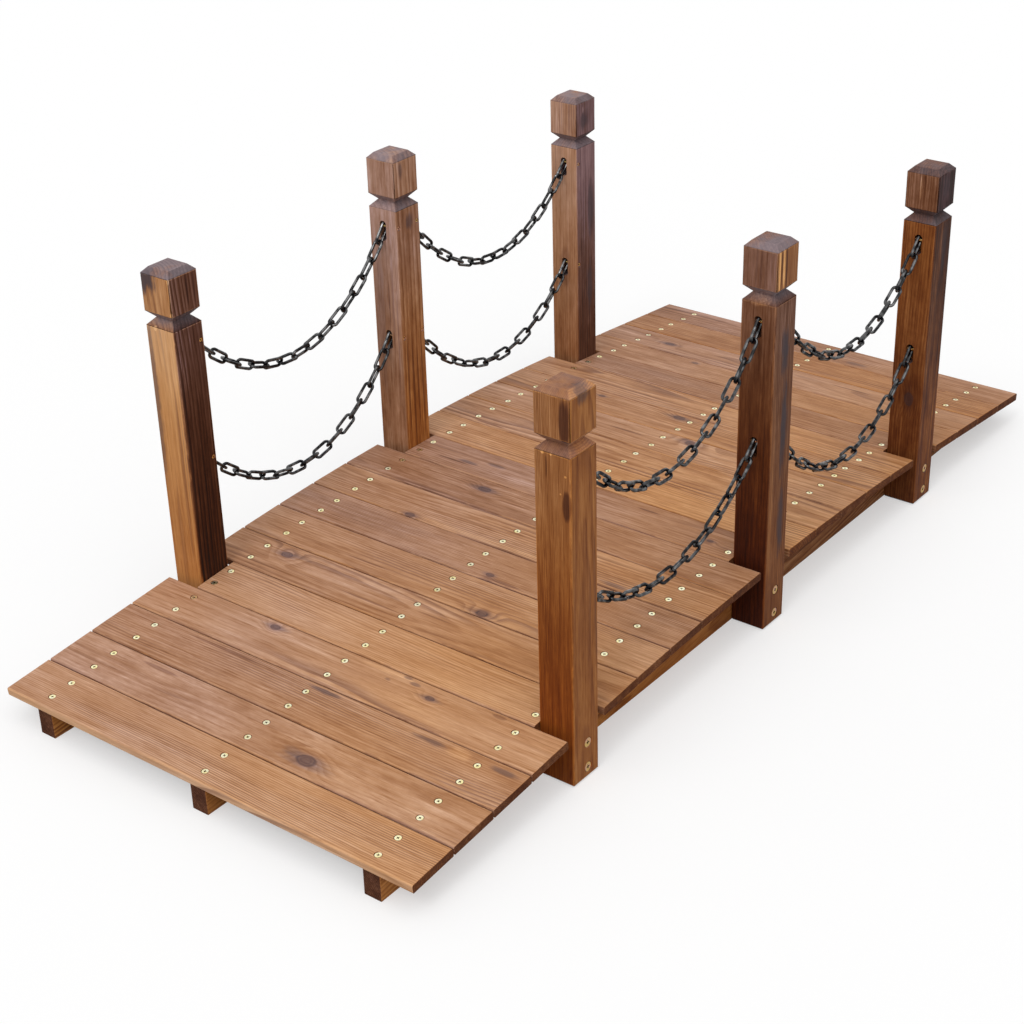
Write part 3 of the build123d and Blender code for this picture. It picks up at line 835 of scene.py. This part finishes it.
def paint_slot_shade(post, foot, top):
    """Gives the walls of a post's slots its second material, the dark wood that paints shade in them; the
    underside and the cap keep the first.
    """
    for face in post.data.polygons:
        aside = max(abs(face.center.x - foot.x), abs(face.center.y - foot.y))
        if aside < SLOT_REACH and 10 * MM < face.center.z < top - CAP_HEIGHT:
            face.material_index = 1


def posts(wood, torn_and_shaded, foot_screws, rail_screws):
    """The posts, with the countersinks of their foot screws; adds the place and turn of each screw."""
    for number, ((side, station), look) in enumerate(POSTS.items()):
        node = f"post_{side}_{station}"
        low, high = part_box(node)
        foot = Vector(((low.x + high.x) / 2, (low.y + high.y) / 2, low.z))
        outward = Vector((0, SIDES[side], 0))
        chance = random.Random(300 + number)
        feet = [(foot + outward * (high.y - foot.y) + Vector((FOOT_SCREW_OFFSET, 0, height)), outward)
                for height in FOOT_SCREW_HEIGHTS]
        rails = rail_screw_places(side, station)
        for places, sunk, screws in ((feet, SUNK, foot_screws), (rails, RAIL_SUNK, rail_screws)):
            screws.extend((place - way * sunk, driven(way, 0.03, chance)) for place, way in places)
        post = eased_copy(node, f"upright_{side}_{station}", POST_EDGE)
        sink_holes(post, feet, FOOT_SCREW_HEAD, FOOT_HOLE)
        # painted shade on the walls of the slots
        paint_slot_shade(post, foot, high.z)
        look = placed(look, 3, lambda x, y, z: foot + Vector((x, y, z)) * MM)
        mark_grain(post, ALONG_POST, 40.7 + number * 5.3, cap_from=high.z - CAP_HEIGHT, **look)
        finish_piece(post, [wood, torn_and_shaded], "post_wood", node)


def link_places(node):
    """Middle and turn of each link of a chain, read from its CAD solids."""
    places = []
    for points in loose_parts(node):
        middle = points.mean(0)
        _, axes = np.linalg.eigh(np.cov((points - middle).T))
        signed = [axis * np.sign(axis[np.abs(axis).argmax()]) for axis in axes.T]
        length, width = Vector(signed[2]), Vector(signed[1])
        ways = np.array([length, width, length.cross(width)])
        reach = (points - middle) @ ways.T
        middle = middle + (reach.min(0) + reach.max(0)) / 2 @ ways
        places.append((Vector(middle), Matrix(ways).transposed().to_euler()))
    return places


def chains(builder, coat):
    """The chains, of round wire in the places of the CAD links."""
    sizes = {"Length": LINK_LENGTH, "Width": LINK_WIDTH, "Bend": LINK_BEND, "Wire": LINK_WIRE}
    for side in SIDES:
        for bay in ("near", "far"):
            for level in ("upper", "lower"):
                node = f"chain_{side}_{bay}_{level}"
                chain = builder.grow(f"links_{side}_{bay}_{level}", link_places(node), sizes)
                finish_piece(chain, [coat], "chain_steel", node)


# ---- setting ---------------------------------------------------------------
def studio_floor():
    """A plain pale floor that the camera sees as white, with the shadow of the bridge on it."""
    mesh = bpy.data.meshes.new("floor")
    reach = 30.0
    mesh.from_pydata([(-reach, -reach, 0), (reach, -reach, 0), (reach, reach, 0), (-reach, reach, 0)], [],
                     [(0, 1, 2, 3)])
    floor = add_piece("floor", mesh)
    g = Graph("pale_floor")
    seen = g.node("ShaderNodeLightPath", output="Is Camera Ray")
    thrown_back = srgb(190, 190, 190)
    lit = g.node("ShaderNodeBsdfDiffuse", {}, {"Color": g.mix(seen, thrown_back, WHITE)})
    plain = g.node("ShaderNodeEmission", {}, {"Strength": 1.0})
    shader = g.node("ShaderNodeMixShader", {}, {0: seen * 0.45, 1: lit, 2: plain})
    g.node("ShaderNodeOutputMaterial", {}, {"Surface": shader})
    mesh.materials.append(g.material)


def lamp_from(name, share, spread, height, bearing):
    """A lamp far off that gives this share of white to what faces up; its width and place in degrees."""
    data = bpy.data.lights.new(name, "SUN")
    data.angle = math.radians(spread)
    data.energy = share * math.pi / math.sin(math.radians(height))
    lamp = bpy.data.objects.new(name, data)
    lamp.rotation_euler = (math.radians(90 - height), 0, math.radians(bearing) + math.pi / 2)
    bpy.context.scene.collection.objects.link(lamp)


def soft_surround(ambient):
    """Even light from all round; the backdrop itself is white to the eye and in reflections."""
    world = bpy.data.worlds.new("studio")
    world.use_nodes = True
    tree = world.node_tree
    tree.nodes.clear()
    paths = tree.nodes.new("ShaderNodeLightPath")
    seen = None
    for ray in ("Is Camera Ray", "Is Glossy Ray", "Is Transmission Ray"):
        if seen is None:
            seen = paths.outputs[ray]
            continue
        either = tree.nodes.new("ShaderNodeMath")
        either.operation = "MAXIMUM"
        tree.links.new(seen, either.inputs[0])
        tree.links.new(paths.outputs[ray], either.inputs[1])
        seen = either.outputs[0]
    lamp, backdrop = tree.nodes.new("ShaderNodeBackground"), tree.nodes.new("ShaderNodeBackground")
    lamp.inputs["Color"].default_value = WHITE
    lamp.inputs["Strength"].default_value = ambient
    backdrop.inputs["Color"].default_value = WHITE
    blend = tree.nodes.new("ShaderNodeMixShader")
    tree.links.new(seen, blend.inputs[0])
    tree.links.new(lamp.outputs[0], blend.inputs[1])
    tree.links.new(backdrop.outputs[0], blend.inputs[2])
    tree.links.new(blend.outputs[0], tree.nodes.new("ShaderNodeOutputWorld").inputs["Surface"])
    bpy.context.scene.world = world


def studio_camera():
    data = bpy.data.cameras.new("camera")
    data.lens = 69.59
    data.sensor_width = 36.0
    camera = bpy.data.objects.new("camera", data)
    camera.location = (-1.98749, -1.45412, 1.40744)
    camera.rotation_euler = [math.radians(angle) for angle in (61.4622, 1.43271, -52.59114)]
    bpy.context.scene.collection.objects.link(camera)
    bpy.context.scene.camera = camera


def main():
    board_wood = stained_wood("stained_board", 0.18)
    post_wood = stained_wood("stained_post", 0.20)
    beam_wood = stained_wood("stained_beam", 0.20)
    # dark wood for crushed fibres and painted shade in the countersinks, and painted shade in the slots
    torn_and_shaded = crushed_wood_and_shade()
    coat = chain_coat()
    deck_zinc = zinc("pale_yellow_zinc", srgb(252, 248, 214), srgb(248, 234, 172))
    foot_zinc = zinc("golden_zinc", srgb(252, 214, 132), srgb(248, 196, 170))

    deck_screws, foot_screws, rail_screws = [], [], []
    deck_boards(board_wood, torn_and_shaded, deck_screws)
    stringer_boards(beam_wood)
    posts(post_wood, torn_and_shaded, foot_screws, rail_screws)
    chains(link_builder(coat), coat)

    driver = screw_builder("deck_screw", deck_zinc)
    piece = driver.grow("deck_screws", deck_screws, {"Head": DECK_SCREW_HEAD, "Length": DECK_SCREW_LENGTH})
    finish_piece(piece, [deck_zinc], "screw_steel")
    driver = screw_builder("post_screw", foot_zinc)
    piece = driver.grow("foot_screws", foot_screws, {"Head": FOOT_SCREW_HEAD, "Length": FOOT_SCREW_LENGTH})
    finish_piece(piece, [foot_zinc], "screw_steel")
    piece = driver.grow("rail_screws", rail_screws, {"Head": RAIL_SCREW_HEAD, "Length": RAIL_SCREW_LENGTH})
    finish_piece(piece, [foot_zinc], "screw_steel",
                 *[f"chain_screws_{side}_{station}" for side in SIDES for station in STATIONS])

    studio_floor()
    soft_surround(0.50)
    lamp_from("overhead", 0.39, 70, 62, -145)
    lamp_from("side", 0.11, 16, 50, -172)
    studio_camera()
    bpy.context.scene.view_settings.view_transform = "Standard"


main()
